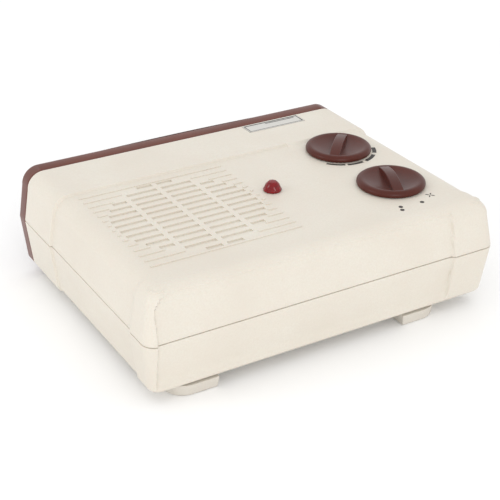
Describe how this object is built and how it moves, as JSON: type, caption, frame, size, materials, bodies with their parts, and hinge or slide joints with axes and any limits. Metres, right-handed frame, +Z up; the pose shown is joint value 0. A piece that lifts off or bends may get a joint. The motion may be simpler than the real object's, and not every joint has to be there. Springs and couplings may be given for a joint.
{
  "type": "ceramic fan heater",
  "caption": "Low portable fan heater with a ceramic element: two-shell housing, round slotted intake on top, louvred front outlet, thermostat and selector knobs, and a red lamp.",
  "frame": {"origin": "middle of the footprint, on the surface the feet stand on", "axes": "+Z up; the air outlet faces -Y; the intake is towards +X and the knobs towards -X on the top"},
  "size_m": [0.25, 0.198, 0.0823],
  "materials": {
    "cream_shell": "satin moulded, fine grain",
    "cream_foot": "satin moulded",
    "brown_trim": "satin moulded",
    "brown_knob": "satin moulded",
    "nameplate": "foil, satin",
    "red_lens": "clear red, polished",
    "lamp_glass": "clear",
    "steel": "zinc plated",
    "laminated_steel": "laminated, varnished",
    "winding": "enamelled copper wire",
    "brass": "machined",
    "aluminium": "folded strip",
    "ptc_ceramic": "sintered",
    "white_ceramic": "glazed",
    "black_moulding": "satin moulded",
    "fan_moulding": "grey, moulded",
    "wire_red": "silicone insulation",
    "wire_black": "silicone insulation"
  },
  "bodies": {
    "root": {"top_shell": "cream_shell", "bottom_shell": "cream_shell", "front_grille": "brown_trim", "foot_rear_right": "cream_foot", "foot_rear_left": "cream_foot", "foot_front_right": "cream_foot", "foot_front_left": "cream_foot", "nameplate": "nameplate", "indicator_lens": "red_lens", "neon_lamp": "lamp_glass", "case_screw_1": "steel", "case_screw_2": "steel", "case_screw_3": "steel", "case_screw_4": "steel", "cord_inlet": "black_moulding", "cord_clamp": "black_moulding", "clamp_screw_1": "steel", "clamp_screw_2": "steel", "terminal_block": "white_ceramic", "fan_scroll": "fan_moulding", "scroll_screw_1": "steel", "scroll_screw_2": "steel", "stator_core": "laminated_steel", "motor_coil": "winding", "motor_bracket_upper": "steel", "motor_bracket_lower": "steel", "motor_bearing_upper": "brass", "motor_bearing_lower": "brass", "motor_screw_1": "steel", "motor_screw_2": "steel", "heater_frame": "black_moulding", "ptc_bar_1": "ptc_ceramic", "ptc_bar_2": "ptc_ceramic", "ptc_bar_3": "ptc_ceramic", "fin_bank_1": "aluminium", "fin_bank_2": "aluminium", "fin_bank_3": "aluminium", "fin_bank_4": "aluminium", "thermal_cutout": "black_moulding", "thermal_fuse": "white_ceramic", "thermostat_plate": "steel", "thermostat_insulator": "white_ceramic", "contact_arm": "brass", "bimetal_arm": "steel", "thermostat_screw_1": "steel", "thermostat_screw_2": "steel", "selector_switch": "black_moulding", "selector_screw_1": "steel", "selector_screw_2": "steel", "wire_live": "wire_black", "wire_neutral": "wire_black", "wire_heater": "wire_red", "wire_lamp": "wire_red"},
    "fan_rotor": {"fan_wheel": "fan_moulding", "motor_rotor": "laminated_steel", "motor_shaft": "steel"},
    "thermostat_dial": {"thermostat_knob": "brown_knob", "thermostat_spindle": "brass"},
    "selector_dial": {"selector_knob": "brown_knob", "selector_spindle": "brass"}
  },
  "joints": [
    {"name": "fan_spin", "type": "hinge", "parent": "root", "child": "fan_rotor", "pos_m": [0.0547, 0.0157, 0.0555], "axis": [0, 0, 1], "continuous": true},
    {"name": "thermostat_turn", "type": "hinge", "parent": "root", "child": "thermostat_dial", "pos_m": [-0.0798, -0.0174, 0.0751], "axis": [0, 0, 1], "range_deg": [-10, 200]},
    {"name": "selector_turn", "type": "hinge", "parent": "root", "child": "selector_dial", "pos_m": [-0.0788, 0.0445, 0.0751], "axis": [0, 0, 1], "range_deg": [0, 90]}
  ]
}
